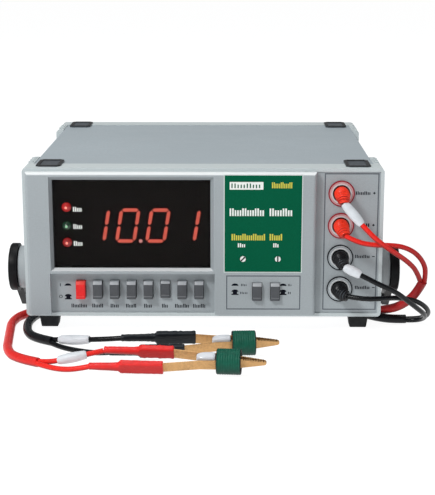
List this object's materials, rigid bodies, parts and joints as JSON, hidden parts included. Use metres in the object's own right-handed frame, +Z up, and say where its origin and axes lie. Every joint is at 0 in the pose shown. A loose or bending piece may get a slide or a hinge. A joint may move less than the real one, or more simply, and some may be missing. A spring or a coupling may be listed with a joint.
{
  "type": "component tester",
  "caption": "Bench low-resistance tester with LED display, push-button ranges, limit trimmers, tilt bail and two Kelvin clip leads plugged into its terminals.",
  "frame": {"origin": "on the bench under the middle of the case, without the leads", "axes": "+Z up, the display faces -Y, +X to the right as seen from the front"},
  "size_m": [0.3062, 0.3451, 0.1196],
  "materials": {
    "frame_plastic": "fine moulded texture",
    "cover_paint": "satin paint",
    "panel_plastic": "satin",
    "smoked_window": "polished",
    "label_green": "printed film",
    "lamp_lens": "clear tinted lens",
    "display_module": "matte",
    "circuit_board": "solder mask",
    "black_plastic": "satin",
    "rubber": "matte",
    "button_red": "satin",
    "button_grey": "satin",
    "steel": "zinc plated",
    "trimmer_white": "satin",
    "board_posts": "nylon",
    "transformer_iron": "varnished laminations",
    "jack_plastic": "gloss",
    "contact_brass": "plated",
    "plug_plastic": "soft moulded",
    "lead_red": "silicone",
    "lead_black": "silicone",
    "tag_white": "heat-shrink",
    "clip_brass": "plated strip",
    "band_green": "elastic",
    "pad_white": "nylon"
  },
  "bodies": {
    "case": {"banana_plugs": "plug_plastic", "black_clip_fixed_sleeve": "lead_black", "black_force_wire": "lead_black", "black_front_clip_wire": "lead_black", "black_rear_clip_wire": "lead_black", "black_sense_wire": "lead_black", "black_sheath": "lead_black", "board_posts": "board_posts", "bottom_cover": "cover_paint", "clip_bands": "band_green", "clip_fixed_arms": "clip_brass", "digit_modules": "display_module", "display_window": "smoked_window", "foot_screws": "steel", "front_frame": "frame_plastic", "front_panel": "panel_plastic", "fuse_holder": "black_plastic", "indicator_lamps": "lamp_lens", "jack_contacts": "contact_brass", "jacks": "jack_plastic", "label_plate": "label_green", "main_board": "circuit_board", "mains_inlet": "black_plastic", "panel_boards": "circuit_board", "pivot_bosses": "frame_plastic", "pivot_hubs": "black_plastic", "rear_frame": "frame_plastic", "rear_panel": "cover_paint", "red_clip_fixed_sleeve": "lead_red", "red_force_wire": "lead_red", "red_front_clip_wire": "lead_red", "red_rear_clip_wire": "lead_red", "red_sense_wire": "lead_red", "red_sheath": "lead_red", "rubber_feet": "rubber", "stacking_pads": "rubber", "switch_banks": "black_plastic", "top_cover": "cover_paint", "transformer": "transformer_iron", "trimmer_pots": "black_plastic", "wire_tags": "tag_white"},
    "bail": {"tilt_bail": "black_plastic"},
    "power_button": {"power_button": "button_red"},
    "mode_button": {"mode_button": "button_grey"},
    "buzzer_button": {"buzzer_button": "button_grey"},
    "low_limit_trimmer": {"low_limit_trimmer": "trimmer_white"},
    "high_limit_trimmer": {"high_limit_trimmer": "trimmer_white"},
    "range_button_1": {"range_button_1": "button_grey"},
    "range_button_2": {"range_button_2": "button_grey"},
    "range_button_3": {"range_button_3": "button_grey"},
    "range_button_4": {"range_button_4": "button_grey"},
    "range_button_5": {"range_button_5": "button_grey"},
    "range_button_6": {"range_button_6": "button_grey"},
    "range_button_7": {"range_button_7": "button_grey"},
    "red_clip_leg": {"red_clip_moving_arm": "clip_brass", "red_clip_moving_sleeve": "lead_red", "red_clip_pad": "pad_white"},
    "black_clip_leg": {"black_clip_moving_arm": "clip_brass", "black_clip_moving_sleeve": "lead_black", "black_clip_pad": "pad_white"}
  },
  "joints": [
    {"name": "bail_swing", "type": "hinge", "parent": "case", "child": "bail", "pos_m": [0, -0.086, 0.04], "axis": [-1, 0, 0], "range_deg": [0, 30]},
    {"name": "power_button_press", "type": "slide", "parent": "case", "child": "power_button", "axis": [0, 1, 0], "range_m": [0, 0.0035], "stiffness_N_per_m": 300, "springref_m": -0.0015},
    {"name": "range_button_1_press", "type": "slide", "parent": "case", "child": "range_button_1", "axis": [0, 1, 0], "range_m": [0, 0.0035], "stiffness_N_per_m": 300, "springref_m": -0.0015},
    {"name": "range_button_2_press", "type": "slide", "parent": "case", "child": "range_button_2", "axis": [0, 1, 0], "range_m": [0, 0.0035], "stiffness_N_per_m": 300, "springref_m": -0.0015},
    {"name": "range_button_3_press", "type": "slide", "parent": "case", "child": "range_button_3", "axis": [0, 1, 0], "range_m": [0, 0.0035], "stiffness_N_per_m": 300, "springref_m": -0.0015},
    {"name": "range_button_4_press", "type": "slide", "parent": "case", "child": "range_button_4", "axis": [0, 1, 0], "range_m": [0, 0.0035], "stiffness_N_per_m": 300, "springref_m": -0.0015},
    {"name": "range_button_5_press", "type": "slide", "parent": "case", "child": "range_button_5", "axis": [0, 1, 0], "range_m": [-0.0035, 0]},
    {"name": "range_button_6_press", "type": "slide", "parent": "case", "child": "range_button_6", "axis": [0, 1, 0], "range_m": [0, 0.0035], "stiffness_N_per_m": 300, "springref_m": -0.0015},
    {"name": "range_button_7_press", "type": "slide", "parent": "case", "child": "range_button_7", "axis": [0, 1, 0], "range_m": [0, 0.0035], "stiffness_N_per_m": 300, "springref_m": -0.0015},
    {"name": "mode_button_press", "type": "slide", "parent": "case", "child": "mode_button", "axis": [0, 1, 0], "range_m": [0, 0.0035], "stiffness_N_per_m": 300, "springref_m": -0.0015},
    {"name": "buzzer_button_press", "type": "slide", "parent": "case", "child": "buzzer_button", "axis": [0, 1, 0], "range_m": [0, 0.0035], "stiffness_N_per_m": 300, "springref_m": -0.0015},
    {"name": "low_limit_trimmer_turn", "type": "hinge", "parent": "case", "child": "low_limit_trimmer", "pos_m": [0.028, -0.116, 0.0549], "axis": [0, 1, 0], "range_deg": [-135, 135]},
    {"name": "high_limit_trimmer_turn", "type": "hinge", "parent": "case", "child": "high_limit_trimmer", "pos_m": [0.0525, -0.116, 0.0549], "axis": [0, 1, 0], "range_deg": [-135, 135]},
    {"name": "red_clip_open", "type": "hinge", "parent": "case", "child": "red_clip_leg", "pos_m": [0.00404, -0.20937, 0.009], "axis": [-0.035, -0.4448, 0.8949], "range_deg": [0, 8], "stiffness_Nm_per_rad": 0.5, "springref_deg": -5.73},
    {"name": "black_clip_open", "type": "hinge", "parent": "case", "child": "black_clip_leg", "pos_m": [0.01383, -0.17188, 0.009], "axis": [0.0209, -0.3414, 0.9397], "range_deg": [0, 8], "stiffness_Nm_per_rad": 0.5, "springref_deg": -5.73}
  ]
}
